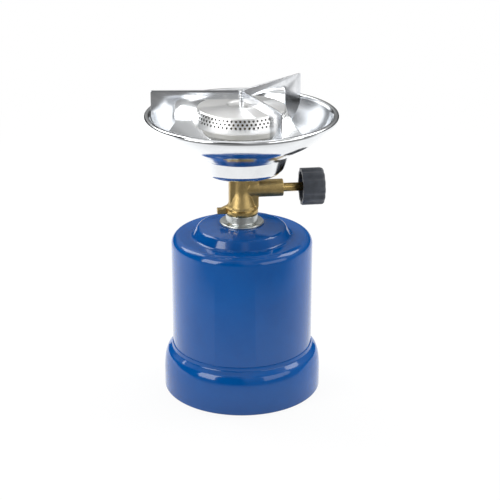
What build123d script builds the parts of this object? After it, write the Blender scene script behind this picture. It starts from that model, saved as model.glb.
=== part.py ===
from build123d import *
import math
import os

os.makedirs("parts", exist_ok=True)

# Camping gas stove for a pierceable 190 g cartridge. Millimetres, +Z up. The origin is on the
# ground at the stove's axis, and +X points along the valve's side arm to the knob.

# Running and static clearances
run_gap = 0.05          # radial play of a shaft or thread in its hole
seat_gap = 0.05         # radial play of a fixed piece in its seat
free_gap = 0.35         # air between curved faces that pass each other
face_gap = 0.1          # air between flat faces that slide past each other
overrun = 1.0           # how far a cutting shape goes past what it cuts

# Cartridge: the standard can that all the rest is made round
can_radius = 44.7
can_height = 95.8
can_wall = 0.35
can_dome = 2.6              # how far the middle stands above the shoulder
can_flat_radius = 12.0
can_edge_radius = 3.0
can_shoulder_radius = 8.0

# Casing
casing_wall = 0.7
can_play = 1.2              # air round the can
casing_headroom = 7.0       # from the can's top to the casing's shoulder
skirt_height = 6.0          # casing's lower edge
shoulder_radius = 5.5
valley_inset = 13.8         # from the casing's side in to the valley's bottom
valley_drop = 0.8
valley_round = 2.6
boss_inset = 4.0            # from the valley in to the boss's edge
boss_rise = 5.6
boss_round = 3.0
land_margin = 1.9           # flat land round the neck's flange
land_rise = 7.9
land_round = 2.0

# Base cup
base_height = 32.0
base_wall = 0.8
base_step = 5.9             # how far the cup stands out past the casing
base_wall_height = 20.8     # straight wall, below the turned-in shoulder
base_edge_radius = 1.2
floor_lift = 4.0            # the pressed-up middle of the floor
foot_width = 8.0
floor_slope_width = 3.5
mouth_gap = 0.4             # between the cup's mouth and the casing
knee_in_share = 0.24        # where the shoulder's slow arc ends, across and up
knee_up_share = 0.70

# Bayonet between the base cup and the casing
lug_count = 3
lug_height = 12.0
lug_proud = 0.2             # how far a lug goes in past the casing's wall
ring_sheet = 1.2
ring_flange_height = 9.0
ring_wall = 0.8
slot_play = 0.4
lug_heading = 30.0          # degrees, as are the next three
lug_half_angle = 4.0
bayonet_turn = 24.0         # from locked to free
slot_play_angle = 0.6

# Neck bush and its nut
shank_radius = 8.0          # the valve body's thread, which the bush takes
neck_height = 6.9           # above the casing's land
neck_wall = 2.4
neck_flange_width = 4.1
neck_flange = 1.5
neck_chamfer = 0.5
neck_sleeve_wall = 2.8
neck_sleeve_length = 5.6    # below the land
neck_hole_play = 0.4
nut_wall = 2.2
nut_height = 4.0

# Valve body
shank_length = 12.0
nose_step = 1.2
nose_wall = 1.2
nose_gap = 1.8              # from the can's top to the nose
recess_depth = 3.6
ring_radius = 10.8
ring_height = 3.4
groove_depth = 0.6
groove_width = 0.6
cone_step = 0.2
bell_step = 1.7
bell_height = 1.6           # steep lower part of the bell
bell_slope_height = 9.0
shaft_radius = 6.4
block_left = 8.3            # flat-sided block round the shaft
block_right = 10.8
block_half_depth = 4.4
block_corner_radius = 1.0
column_height = 28.6        # from the ring's lower face to the dish
spigot_radius = 5.0
spigot_length = 9.0
arm_radius = 5.7
arm_length = 27.0
arm_height = 16.3           # arm's axis above the ring's lower face
arm_chamfer = 0.6
stop_length = 5.4           # the small stop opposite the arm
stop_width = 4.4
stop_web_inset = 2.8
stop_web_height = 6.8
passage_radius = 1.2
feed_radius = 0.9
feed_start = 5.6
feed_offset = 1.2
feed_drop = 2.0
orifice_radius = 1.0
orifice_length = 4.0
gland_wall = 1.15
gland_length = 5.0
jet_bore_radius = 3.0
jet_bore_depth = 7.6

# Needle and seal
needle_radius = 1.4
needle_bore_radius = 0.6
needle_seat = 4.2           # length held in the body
pierce_depth = 4.1          # how far the needle goes into the can
pierce_gap = 0.3
seal_squeeze_gap = 0.15
seal_edge_radius = 0.5
needle_slant = 35.0         # degrees

# Stem and its ring
stem_radius = 2.85
stem_thread_radius = 3.35
stem_travel = 1.5           # from shut to full flame
tip_depth = 1.0             # how far the cone's end is past the seat
tip_neck_radius = 1.6
chamber_length = 4.0
groove_inset = 3.4
oring_section = 0.6
oring_play = 0.15
spline_count = 8
spline_hidden = 2.8
spline_depth = 0.45
spline_width = 0.7
tip_slope_share = 0.4       # radius gained along the cone, for its length

# Knob
knob_radius = 12.25
knob_gap = 12.0             # from the arm's end
knob_length = 14.8
knob_wall = 2.0
knob_face = 2.5
knob_cap = 2.0              # plastic over the stem's end
knob_edge_radius = 2.0
knob_rim_radius = 0.3
knob_hub_wall = 2.05
knob_hub_inset = 4.6
flute_count = 12
flute_radius = 4.0
flute_depth = 0.85

# Jet and filter
filter_height = 1.4
jet_length = 12.4
jet_flats = 6.6
jet_hex_height = 2.4
jet_nose_radius = 1.8
jet_passage_radius = 1.2
jet_orifice_radius = 0.25
jet_tip = 1.0

# Dish
dish_radius = 62.6
dish_depth = 38.8
dish_wall = 0.6
dish_hole_gap = 0.3
cup_radius = 31.7           # at the cup's top
cup_height = 13.3
cup_taper = 4.7
cup_foot_round = 6.9
cup_top_round = 1.5
slope_width = 16.4          # straight cone from the cup's top to the knee
slope_rise = 9.65
lip_width = 3.8
lip_drop = 2.2              # from the rim's top to the end of the bowl's wall
lip_round = 1.0
lip_curl = 0.9

# Burner
washer_margin = 1.1
washer_sheet = 1.0
tube_wall = 1.1
tube_bore_step = 0.7
tube_hex_step = 0.7
tube_hex_height = 5.0
tube_top_drop = 1.9         # tube's end below the head's seam
tube_collar_width = 1.2
tube_collar_height = 1.2
air_hole_count = 4
air_hole_radius = 2.1
air_hole_height = 15.0
head_radius = 31.0
head_drop = 5.3             # head's seam below the dish's rim
bowl_sheet = 0.6
bowl_step = 5.4
bowl_depth = 9.6
bowl_round = 5.0
bowl_fall = 1.0
cap_sheet = 0.5
cap_taper = 2.6
cap_skirt_height = 9.7
cap_edge_radius = 1.3
cap_rise = 1.8
dimple_radius = 8.2         # shallow hollow in the middle of the cap
dimple_slope = 1.2
dimple_depth = 1.0
port_count = 66
port_radius = 0.65
port_row_shares = (0.39, 0.605, 0.82)       # heights of the three rows on the skirt

# Pan supports and their pin
support_rise = 15.2         # top edges, where the pan stands, above the dish's rim
support_sheet = 1.0
reach_gap = 0.35
bridge_height = 6.0
leg_width = 15.3
leg_inner_drop = 21.2
leg_tip_inset = 9.3
leg_corner_radius = 4.0
pin_radius = 0.75
eye_radius = 1.55
eye_height = 1.8
eye_clear = 0.4
pin_rivet_radius = 1.6
pin_rivet_height = 0.7
pin_collar_radius = 1.55
pin_head_radius = 1.5
pin_head_height = 0.8
pin_head_drop = 0.2         # head's top below the supports' top edges
pin_washer_sheet = 0.3
support_headings = {"fin_left": 174.0, "fin_front": -72.0, "fin_back": 41.0}    # degrees

# Places that follow from the sizes above
floor_top = floor_lift + base_wall
can_top = floor_top + can_height
casing_radius = can_radius + can_play + casing_wall
casing_height = can_top + casing_headroom
land_height = casing_height + land_rise
mouth_radius = casing_radius + mouth_gap
base_radius = casing_radius + base_step
neck_radius = shank_radius + neck_wall
neck_flange_radius = neck_radius + neck_flange_width
sleeve_radius = shank_radius + neck_sleeve_wall
neck_top = land_height + neck_height
nose_foot = can_top + nose_gap
nose_radius = shank_radius - nose_step
recess_radius = nose_radius - nose_wall
recess_roof = nose_foot + recess_depth
needle_head = recess_roof + needle_seat
cone_foot = neck_top + ring_height + groove_width
arm_axis = neck_top + arm_height
stem_axis = Axis((0, 0, arm_axis), (1, 0, 0))
dish_foot = neck_top + column_height
dish_height = dish_foot + dish_depth
spigot_top = dish_foot + spigot_length
burner_foot = dish_foot + dish_wall + washer_sheet
tube_bore_radius = spigot_radius + tube_bore_step
tube_radius = tube_bore_radius + tube_wall
tube_flats = 2 * (tube_radius + tube_hex_step)
head_seam = dish_height - head_drop
support_height = dish_height + support_rise
bowl_rim_radius = dish_radius - lip_width

# The bowl's wall is a cone up to its knee and then an arc that leaves the cone smoothly. The
# arc's centre and radius also shape the feet of the pan supports.
wall_corner = Vector(cup_radius, dish_foot + cup_height)
wall_knee = wall_corner + Vector(slope_width, slope_rise)
wall_head = Vector(bowl_rim_radius, dish_height - lip_drop)
wall_slope = (wall_knee - wall_corner).normalized()
wall_inward = Vector(-wall_slope.Y, wall_slope.X)
wall_chord = wall_head - wall_knee
wall_radius = wall_chord.length ** 2 / (2 * wall_chord.dot(wall_inward))
wall_centre = wall_knee + wall_inward * wall_radius


def upright(heading):
    # Upright plane through the stove's axis, its x pointing outwards at the heading
    outwards = Vector(1, 0, 0).rotate(Axis.Z, heading)
    return Plane(origin=(0, 0, 0), x_dir=outwards, z_dir=outwards.rotate(Axis.Z, -90))


def sector(first, last, inner, outer, low, high):
    # Part of a ring between two headings
    with BuildPart() as piece:
        with BuildSketch(upright(first)):
            with Locations(((inner + outer) / 2, (low + high) / 2)):
                Rectangle(outer - inner, high - low)
        revolve(axis=Axis.Z, revolution_arc=last - first)
    return piece.part


lug_headings = [lug_heading + index * 360 / lug_count for index in range(lug_count)]

# Base cup: one drawn sheet, its mouth turned in to guide the casing
foot_inner_radius = base_radius - foot_width
floor_radius = foot_inner_radius - floor_slope_width
with BuildPart() as base_cup:
    with BuildSketch(Plane.XZ):
        with BuildLine():
            floor = FilletPolyline(
                (0, floor_lift), (floor_radius, floor_lift), (foot_inner_radius, 0),
                (base_radius, 0), (base_radius, base_wall_height),
                radius=[base_edge_radius, base_edge_radius, base_edge_radius])
            shoulder_width = base_radius - mouth_radius
            shoulder_height = base_height - base_wall_height
            knee = (base_radius - shoulder_width * knee_in_share,
                    base_wall_height + shoulder_height * knee_up_share)
            slow = TangentArc(floor @ 1, knee, tangent=(0, 1))
            TangentArc(slow @ 1, (mouth_radius, base_height), tangent=slow % 1)
            offset(amount=base_wall, side=Side.LEFT)
        make_face()
    revolve(axis=Axis.Z)
base_cup.part.label = "base_cup"
export_step(base_cup.part, "parts/base_cup.step")

# Bayonet ring: an angle ring in the cup, with lugs that reach through the casing's slots
ring_outer = base_radius - base_wall - seat_gap
ring_inner = mouth_radius + free_gap
lug_tip = casing_radius - casing_wall - lug_proud
with BuildPart() as bayonet_ring:
    with BuildSketch(Plane.XY.offset(lug_height)):
        Circle(ring_outer)
        Circle(ring_inner, mode=Mode.SUBTRACT)
    extrude(amount=ring_sheet)
    with BuildSketch(Plane.XY.offset(lug_height)):
        Circle(ring_outer)
        Circle(ring_outer - ring_wall, mode=Mode.SUBTRACT)
    extrude(amount=-ring_flange_height)
    for heading in lug_headings:
        add(sector(heading - lug_half_angle, heading + lug_half_angle, lug_tip,
                   ring_inner + ring_wall, lug_height, lug_height + ring_sheet))
bayonet_ring.part.label = "bayonet_ring"
export_step(bayonet_ring.part, "parts/bayonet_ring.step")

# Gas cartridge: a thin closed can, its top already pierced by the needle
with BuildPart() as gas_cartridge:
    with BuildSketch(Plane.XZ):
        with BuildLine():
            FilletPolyline(
                (needle_radius + pierce_gap, can_top), (can_flat_radius, can_top),
                (can_radius, can_top - can_dome), (can_radius, floor_top), (0, floor_top),
                radius=[can_edge_radius, can_shoulder_radius, can_edge_radius])
            offset(amount=can_wall, side=Side.RIGHT)
        make_face()
    revolve(axis=Axis.Z)
gas_cartridge.part.label = "gas_cartridge"
export_step(gas_cartridge.part, "parts/gas_cartridge.step")

# Casing: a drawn shell with a stepped top, and a bent slot for each lug of the bayonet
slot_foot = lug_height - slot_play
slot_top = lug_height + ring_sheet + slot_play
slot_side = lug_half_angle + slot_play_angle
slot_inside = casing_radius - casing_wall - overrun
slot_outside = casing_radius + overrun
valley_radius = casing_radius - valley_inset
boss_radius = valley_radius - boss_inset
with BuildPart() as casing_shell:
    with BuildSketch(Plane.XZ):
        with BuildLine():
            FilletPolyline(
                (casing_radius, skirt_height), (casing_radius, casing_height),
                (valley_radius, casing_height - valley_drop),
                (boss_radius, casing_height + boss_rise),
                (neck_flange_radius + land_margin, land_height),
                (sleeve_radius + neck_hole_play, land_height),
                radius=[shoulder_radius, valley_round, boss_round, land_round])
            offset(amount=casing_wall, side=Side.LEFT)
        make_face()
    revolve(axis=Axis.Z)
    for heading in lug_headings:
        free = heading - bayonet_turn
        add(sector(free - slot_side, heading + slot_side, slot_inside, slot_outside,
                   slot_foot, slot_top), mode=Mode.SUBTRACT)
        add(sector(free - slot_side, free + slot_side, slot_inside, slot_outside,
                   skirt_height - overrun, slot_top), mode=Mode.SUBTRACT)
casing_shell.part.label = "casing_shell"
export_step(casing_shell.part, "parts/casing_shell.step")

# Neck bush: threaded sleeve with a flange on the casing's land
neck_bore = shank_radius + run_gap
sleeve_foot = land_height - neck_sleeve_length
flange_top = land_height + neck_flange
with BuildPart() as neck_bush:
    with BuildSketch(Plane.XZ):
        with BuildLine():
            Polyline(
                (neck_bore, sleeve_foot), (sleeve_radius, sleeve_foot),
                (sleeve_radius, land_height), (neck_flange_radius, land_height),
                (neck_flange_radius, flange_top - neck_chamfer),
                (neck_flange_radius - neck_chamfer, flange_top),
                (neck_radius, flange_top), (neck_radius, neck_top - neck_chamfer),
                (neck_radius - neck_chamfer, neck_top), (neck_bore, neck_top), close=True)
        make_face()
    revolve(axis=Axis.Z)
neck_bush.part.label = "neck_bush"
export_step(neck_bush.part, "parts/neck_bush.step")

# Neck nut: clamps the bush from inside the casing
nut_top = land_height - casing_wall
with BuildPart() as neck_nut:
    with BuildSketch(Plane.XY.offset(nut_top - nut_height)):
        RegularPolygon(sleeve_radius + nut_wall, 6, major_radius=False)
        Circle(sleeve_radius + seat_gap, mode=Mode.SUBTRACT)
    extrude(amount=nut_height)
neck_nut.part.label = "neck_nut"
export_step(neck_nut.part, "parts/neck_nut.step")

# Valve body: a brass forging, turned below and above, with its passages drilled
groove_radius = ring_radius - groove_depth
cone_foot_radius = ring_radius - cone_step
bell_radius = ring_radius - bell_step
bell_top = cone_foot + bell_height
stop_reach = ring_radius + stop_length
stop_top = neck_top + ring_height
stem_bore_radius = stem_thread_radius + run_gap
gland_radius = stem_bore_radius + gland_wall
gland_start = arm_length - gland_length
jet_bore_foot = spigot_top - jet_bore_depth
with BuildPart() as valve_body:
    with BuildSketch(Plane.XZ):
        with BuildLine():
            Polyline(
                (0, nose_foot), (nose_radius, nose_foot), (nose_radius, neck_top - shank_length),
                (shank_radius, neck_top - shank_length), (shank_radius, neck_top),
                (ring_radius, neck_top), (ring_radius, neck_top + ring_height),
                (groove_radius, neck_top + ring_height), (groove_radius, cone_foot),
                (cone_foot_radius, cone_foot), (bell_radius, bell_top),
                (shaft_radius, bell_top + bell_slope_height), (shaft_radius, dish_foot),
                (spigot_radius, dish_foot),
                (spigot_radius, spigot_top), (0, spigot_top), close=True)
        make_face()
    revolve(axis=Axis.Z)
    with BuildSketch(Plane.XY.offset(cone_foot)):
        with Locations(((block_right - block_left) / 2, 0)):
            RectangleRounded(block_right + block_left, 2 * block_half_depth, block_corner_radius)
    extrude(amount=dish_foot - cone_foot)
    with BuildSketch(Plane.YZ.offset(arm_length)):
        with Locations((0, arm_axis)):
            Circle(arm_radius)
    extrude(amount=-arm_length)
    arm_rim = edges().filter_by(GeomType.CIRCLE).group_by(Axis.X)[-1]
    chamfer(arm_rim, arm_chamfer)
    # the stop opposite the arm, with its sloping web
    with BuildSketch(Plane.XZ):
        with BuildLine():
            Polyline(
                (-groove_radius / 2, neck_top), (-stop_reach, neck_top), (-stop_reach, stop_top),
                (stop_web_inset - stop_reach, stop_top), (-bell_radius, neck_top + stop_web_height),
                (-groove_radius / 2, neck_top + stop_web_height), close=True)
        make_face()
    extrude(amount=stop_width / 2, both=True)
    # seal recess, needle seat, gas passages, jet bore
    with BuildSketch(Plane.XZ):
        with BuildLine():
            Polyline(
                (0, nose_foot), (recess_radius, nose_foot), (recess_radius, recess_roof),
                (needle_radius + seat_gap, recess_roof),
                (needle_radius + seat_gap, recess_roof + needle_seat),
                (passage_radius, recess_roof + needle_seat),
                (passage_radius, neck_top + feed_start), (0, neck_top + feed_start), close=True)
        make_face()
        with BuildLine():
            Polyline(
                (0, arm_axis), (passage_radius, arm_axis), (passage_radius, jet_bore_foot),
                (jet_bore_radius, jet_bore_foot), (jet_bore_radius, spigot_top),
                (0, spigot_top), close=True)
        make_face()
    revolve(axis=Axis.Z, mode=Mode.SUBTRACT)
    # stem bore with the seat's orifice at its inner end and the gland's thread at its mouth
    with BuildSketch(Plane.XZ):
        with BuildLine():
            Polyline(
                (0, arm_axis), (arm_length, arm_axis), (arm_length, arm_axis + gland_radius),
                (gland_start, arm_axis + gland_radius),
                (gland_start, arm_axis + stem_bore_radius),
                (orifice_length, arm_axis + stem_bore_radius),
                (orifice_length, arm_axis + orifice_radius), (0, arm_axis + orifice_radius),
                close=True)
        make_face()
    revolve(axis=stem_axis, mode=Mode.SUBTRACT)
    # slanted hole that feeds the stem bore from the needle's passage
    feed_foot = Vector(0, 0, neck_top + feed_start - passage_radius)
    feed_head = Vector(orifice_length + feed_offset, 0, arm_axis - feed_drop)
    with BuildSketch(Plane(origin=feed_foot, z_dir=feed_head - feed_foot)):
        Circle(feed_radius)
    extrude(amount=(feed_head - feed_foot).length, mode=Mode.SUBTRACT)
valve_body.part.label = "valve_body"
export_step(valve_body.part, "parts/valve_body.step")

# Piercing needle: a steel tube cut off at a slant
needle_foot = can_top - pierce_depth
with BuildPart() as piercing_needle:
    with BuildSketch(Plane.XY.offset(needle_head)):
        Circle(needle_radius)
        Circle(needle_bore_radius, mode=Mode.SUBTRACT)
    extrude(amount=needle_foot - needle_head)
    slant = Plane(origin=(needle_radius, 0, needle_foot),
                  z_dir=Vector(0, 0, 1).rotate(Axis.Y, -needle_slant))
    split(bisect_by=slant, keep=Keep.TOP)
piercing_needle.part.label = "piercing_needle"
export_step(piercing_needle.part, "parts/piercing_needle.step")

# Cartridge seal: thick rubber ring between the valve's nose and the can
with BuildPart() as cartridge_seal:
    with BuildSketch(Plane.XY.offset(can_top + seal_squeeze_gap)):
        Circle(recess_radius - free_gap)
        Circle(needle_radius + free_gap, mode=Mode.SUBTRACT)
    extrude(amount=recess_roof - face_gap - can_top - seal_squeeze_gap)
    fillet(edges().filter_by(GeomType.CIRCLE).group_by(SortBy.RADIUS)[-1], seal_edge_radius)
cartridge_seal.part.label = "cartridge_seal"
export_step(cartridge_seal.part, "parts/cartridge_seal.step")

# Valve stem: cone tip, thread, a groove for its seal, and a grooved shaft for the knob
tip_start = orifice_length - tip_depth
tip_radius_at_seat = orifice_radius - run_gap
tip_radius = tip_radius_at_seat - tip_depth * tip_slope_share
tip_end = orifice_length + (tip_neck_radius - tip_radius_at_seat) / tip_slope_share
thread_start = orifice_length + chamber_length
collar_end = gland_start - face_gap - stem_travel
groove_start = collar_end - groove_inset
oring_groove_radius = stem_thread_radius - 2 * oring_section - run_gap
groove_end = groove_start + 2 * oring_section + 2 * oring_play
knob_start = arm_length + knob_gap
knob_end = knob_start + knob_length
stem_end = knob_end - knob_cap
with BuildPart() as valve_stem:
    with BuildSketch(Plane.XZ):
        with BuildLine():
            Polyline(
                (tip_start, arm_axis), (tip_start, arm_axis + tip_radius),
                (tip_end, arm_axis + tip_neck_radius), (thread_start, arm_axis + tip_neck_radius),
                (thread_start, arm_axis + stem_thread_radius),
                (groove_start, arm_axis + stem_thread_radius),
                (groove_start, arm_axis + oring_groove_radius),
                (groove_end, arm_axis + oring_groove_radius),
                (groove_end, arm_axis + stem_thread_radius),
                (collar_end, arm_axis + stem_thread_radius),
                (collar_end, arm_axis + stem_radius), (stem_end, arm_axis + stem_radius),
                (stem_end, arm_axis), close=True)
        make_face()
    revolve(axis=stem_axis)
    with BuildSketch(Plane.YZ.offset(stem_end)):
        with Locations((0, arm_axis)):
            with PolarLocations(stem_radius, spline_count, start_angle=180 / spline_count):
                Rectangle(2 * spline_depth, spline_width)
    extrude(amount=arm_length - spline_hidden - stem_end, mode=Mode.SUBTRACT)
valve_stem.part.label = "valve_stem"
export_step(valve_stem.part, "parts/valve_stem.step")

# Stem O-ring: slides in the arm's bore with the stem, without turning
with BuildPart() as stem_oring:
    with BuildSketch(Plane.XZ):
        with Locations(((groove_start + groove_end) / 2,
                        arm_axis + stem_thread_radius - oring_section)):
            Circle(oring_section)
    revolve(axis=stem_axis)
stem_oring.part.label = "stem_oring"
export_step(stem_oring.part, "parts/stem_oring.step")

# Stem gland: screwed into the arm's mouth, where it keeps the stem's collar in
with BuildPart() as stem_gland:
    with BuildSketch(Plane.YZ.offset(gland_start)):
        with Locations((0, arm_axis)):
            Circle(gland_radius - seat_gap)
            Circle(stem_radius + run_gap, mode=Mode.SUBTRACT)
    extrude(amount=gland_length)
stem_gland.part.label = "stem_gland"
export_step(stem_gland.part, "parts/stem_gland.step")

# Knob: fluted cup, open towards the valve, with a hub that the stem is pressed into
knob_floor = knob_end - knob_face
hub_start = knob_start + knob_hub_inset
hub_bore = stem_radius + seat_gap
hub_radius = hub_bore + knob_hub_wall
flute_circle = knob_radius + flute_radius - flute_depth
with BuildPart() as knob:
    with BuildSketch(Plane.XZ):
        with BuildLine():
            knob_side = FilletPolyline(
                (knob_start, arm_axis), (knob_start, arm_axis + knob_radius),
                (knob_end, arm_axis + knob_radius), (knob_end, arm_axis),
                radius=[knob_rim_radius, knob_edge_radius])
            Line(knob_side @ 1, knob_side @ 0)
        make_face()
    revolve(axis=stem_axis)
    with BuildSketch(Plane.YZ.offset(knob_start - overrun)):
        with Locations((0, arm_axis)):
            with PolarLocations(flute_circle, flute_count):
                Circle(flute_radius)
    extrude(amount=knob_length + 2 * overrun, mode=Mode.SUBTRACT)
    # hollow round the hub, and the hub's bore
    with BuildSketch(Plane.XZ):
        with BuildLine():
            Polyline(
                (knob_start - overrun, arm_axis + hub_bore),
                (knob_start - overrun, arm_axis + knob_radius - knob_wall),
                (knob_floor, arm_axis + knob_radius - knob_wall),
                (knob_floor, arm_axis + hub_radius), (hub_start, arm_axis + hub_radius),
                (hub_start, arm_axis + hub_bore), close=True)
        make_face()
    revolve(axis=stem_axis, mode=Mode.SUBTRACT)
    with BuildSketch(Plane.YZ.offset(knob_start - overrun)):
        with Locations((0, arm_axis)):
            Circle(hub_bore)
    extrude(amount=stem_end + overrun - knob_start, mode=Mode.SUBTRACT)
knob.part.label = "knob"
export_step(knob.part, "parts/knob.step")

# Jet filter: porous disc at the bottom of the jet's bore
with BuildPart() as jet_filter:
    with BuildSketch(Plane.XY.offset(jet_bore_foot)):
        Circle(jet_bore_radius - seat_gap)
    extrude(amount=filter_height)
jet_filter.part.label = "jet_filter"
export_step(jet_filter.part, "parts/jet_filter.step")

# Jet: screwed into the spigot, with a hexagon and a fine orifice
jet_foot = jet_bore_foot + filter_height
jet_top = jet_foot + jet_length
with BuildPart() as jet:
    with BuildSketch(Plane.XY.offset(jet_foot)):
        Circle(jet_bore_radius - seat_gap)
    extrude(amount=spigot_top - jet_foot)
    with BuildSketch(Plane.XY.offset(spigot_top)):
        RegularPolygon(jet_flats / 2, 6, major_radius=False)
    extrude(amount=jet_hex_height)
    with BuildSketch(Plane.XY.offset(spigot_top + jet_hex_height)):
        Circle(jet_nose_radius)
    extrude(amount=jet_top - spigot_top - jet_hex_height)
    with BuildSketch(Plane.XY.offset(jet_foot)):
        Circle(jet_passage_radius)
    extrude(amount=jet_length - jet_tip, mode=Mode.SUBTRACT)
    with BuildSketch(Plane.XY.offset(jet_foot)):
        Circle(jet_orifice_radius)
    extrude(amount=jet_length, mode=Mode.SUBTRACT)
jet.part.label = "jet"
export_step(jet.part, "parts/jet.step")

# Dish: polished sheet, a deep cup in the middle of a bowl, its rim turned over
lip_under = dish_height - dish_wall
lip_edge = dish_radius - dish_wall
with BuildPart() as dish:
    with BuildSketch(Plane.XZ):
        with BuildLine():
            FilletPolyline(
                (spigot_radius + dish_hole_gap, dish_foot), (cup_radius - cup_taper, dish_foot),
                wall_corner, wall_knee, radius=[cup_foot_round, cup_top_round])
            TangentArc(wall_knee, wall_head, tangent=wall_slope)
            Polyline(wall_head, (bowl_rim_radius + lip_round, lip_under),
                     (lip_edge - lip_curl, lip_under))
            TangentArc((lip_edge - lip_curl, lip_under), (lip_edge, lip_under - lip_curl),
                       tangent=(1, 0))
            offset(amount=dish_wall, side=Side.LEFT)
        make_face()
    revolve(axis=Axis.Z)
dish.part.label = "dish"
export_step(dish.part, "parts/dish.step")

# Dish washer: between the dish and the burner tube
with BuildPart() as dish_washer:
    with BuildSketch(Plane.XY.offset(dish_foot + dish_wall)):
        Circle(tube_flats / 2 + washer_margin)
        Circle(spigot_radius + dish_hole_gap, mode=Mode.SUBTRACT)
    extrude(amount=washer_sheet)
dish_washer.part.label = "dish_washer"
export_step(dish_washer.part, "parts/dish_washer.step")

# Burner tube: mixing tube with air holes, its hexagon clamping the dish
tube_top = head_seam - tube_top_drop
tube_thread_top = spigot_top + free_gap
bowl_floor = head_seam - bowl_depth
collar_radius = tube_radius + tube_collar_width
with BuildPart() as burner_tube:
    with BuildSketch(Plane.XY.offset(burner_foot)):
        RegularPolygon(tube_flats / 2, 6, major_radius=False)
    extrude(amount=tube_hex_height)
    with BuildSketch(Plane.XY.offset(burner_foot + tube_hex_height)):
        Circle(tube_radius)
    extrude(amount=tube_top - burner_foot - tube_hex_height)
    with BuildSketch(Plane.XY.offset(bowl_floor - tube_collar_height)):
        Circle(collar_radius)
    extrude(amount=tube_collar_height)
    with BuildSketch(Plane.XY.offset(burner_foot)):
        Circle(spigot_radius + seat_gap)
    extrude(amount=tube_thread_top - burner_foot, mode=Mode.SUBTRACT)
    with BuildSketch(Plane.XY.offset(tube_thread_top)):
        Circle(tube_bore_radius)
    extrude(amount=tube_top - tube_thread_top, mode=Mode.SUBTRACT)
    with Locations((0, 0, burner_foot + air_hole_height)):
        with PolarLocations(tube_radius, air_hole_count):
            Cylinder(air_hole_radius, tube_radius, rotation=(0, 90, 0), mode=Mode.SUBTRACT)
burner_tube.part.label = "burner_tube"
export_step(burner_tube.part, "parts/burner_tube.step")

# Burner bowl: lower half of the burner head, seated on the tube's collar
burner_bowl_radius = head_radius - bowl_step
with BuildPart() as burner_bowl:
    with BuildSketch(Plane.XZ):
        with BuildLine():
            FilletPolyline(
                (tube_radius + seat_gap, bowl_floor),
                (collar_radius + tube_collar_width, bowl_floor),
                (burner_bowl_radius, bowl_floor + bowl_fall),
                (burner_bowl_radius, head_seam - bowl_sheet),
                (head_radius, head_seam - bowl_sheet),
                radius=[tube_collar_width, bowl_round, bowl_sheet / 4])
            offset(amount=bowl_sheet, side=Side.LEFT)
        make_face()
    revolve(axis=Axis.Z)
burner_bowl.part.label = "burner_bowl"
export_step(burner_bowl.part, "parts/burner_bowl.step")

# Burner cap: domed cap with a shallow hollow, and three staggered rows of ports in its skirt
cap_top_radius = head_radius - cap_taper
skirt_top = head_seam + cap_skirt_height
dome_top = skirt_top + cap_rise
dimple_floor = dome_top - dimple_depth
with BuildPart() as burner_cap:
    with BuildSketch(Plane.XZ):
        with BuildLine():
            FilletPolyline(
                (head_radius, head_seam + face_gap),
                (cap_top_radius, skirt_top), (dimple_radius + dimple_slope, dome_top),
                (dimple_radius, dimple_floor), (pin_radius + seat_gap, dimple_floor),
                radius=[cap_edge_radius, 2 * cap_sheet, cap_sheet])
            offset(amount=cap_sheet, side=Side.LEFT)
        make_face()
    revolve(axis=Axis.Z)
    for row, share in enumerate(port_row_shares):
        row_height = head_seam + cap_skirt_height * share
        row_radius = head_radius - cap_taper * share
        with BuildPart(mode=Mode.PRIVATE) as port:
            with BuildSketch(Plane.YZ.offset(row_radius + cap_sheet)):
                with Locations((0, row_height)):
                    RegularPolygon(port_radius, 6)
            extrude(amount=-3 * cap_sheet)
        with PolarLocations(0, port_count, start_angle=row * 180 / port_count):
            add(port.part, mode=Mode.SUBTRACT)
burner_cap.part.label = "burner_cap"
export_step(burner_cap.part, "parts/burner_cap.step")

# Centre pin: riveted through the cap, with a collar that carries the supports
pin_head_foot = support_height - pin_head_drop - pin_head_height
eye_top = pin_head_foot - pin_washer_sheet - face_gap
eye_step = eye_height + face_gap
eye_foot = eye_top - len(support_headings) * eye_step
rivet_top = dimple_floor - cap_sheet
with BuildPart() as centre_pin:
    with BuildSketch(Plane.XZ):
        with BuildLine():
            pin_side = Polyline(
                (0, rivet_top - pin_rivet_height), (pin_rivet_radius, rivet_top - pin_rivet_height),
                (pin_rivet_radius, rivet_top), (pin_radius, rivet_top), (pin_radius, dimple_floor),
                (pin_collar_radius, dimple_floor), (pin_collar_radius, eye_foot),
                (pin_radius, eye_foot), (pin_radius, pin_head_foot),
                (pin_head_radius, pin_head_foot))
            TangentArc((0, pin_head_foot + pin_head_height), pin_side @ 1, tangent=(1, 0))
            Line((0, pin_head_foot + pin_head_height), pin_side @ 0)
        make_face()
    revolve(axis=Axis.Z)
centre_pin.part.label = "centre_pin"
export_step(centre_pin.part, "parts/centre_pin.step")

# Washer under the pin's head
with BuildPart() as fin_washer:
    with BuildSketch(Plane.XY.offset(eye_top + face_gap)):
        Circle(eye_radius)
        Circle(pin_radius + seat_gap, mode=Mode.SUBTRACT)
    extrude(amount=pin_washer_sheet)
fin_washer.part.label = "fin_washer"
export_step(fin_washer.part, "parts/fin_washer.step")

# Pan supports: sheet fins, each with an eye at its own level on the pin
foot_radius = wall_radius - dish_wall - free_gap
support_reach = bowl_rim_radius - dish_wall - reach_gap
leg_inner_radius = support_reach - leg_width
leg_tip_radius = support_reach - leg_tip_inset
plate_start = eye_radius + eye_clear
bridge_foot = support_height - bridge_height


def foot_height(radius):
    # height of a support's foot, just off the bowl's wall
    return wall_centre.Y - math.sqrt(foot_radius ** 2 - (radius - wall_centre.X) ** 2)


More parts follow.
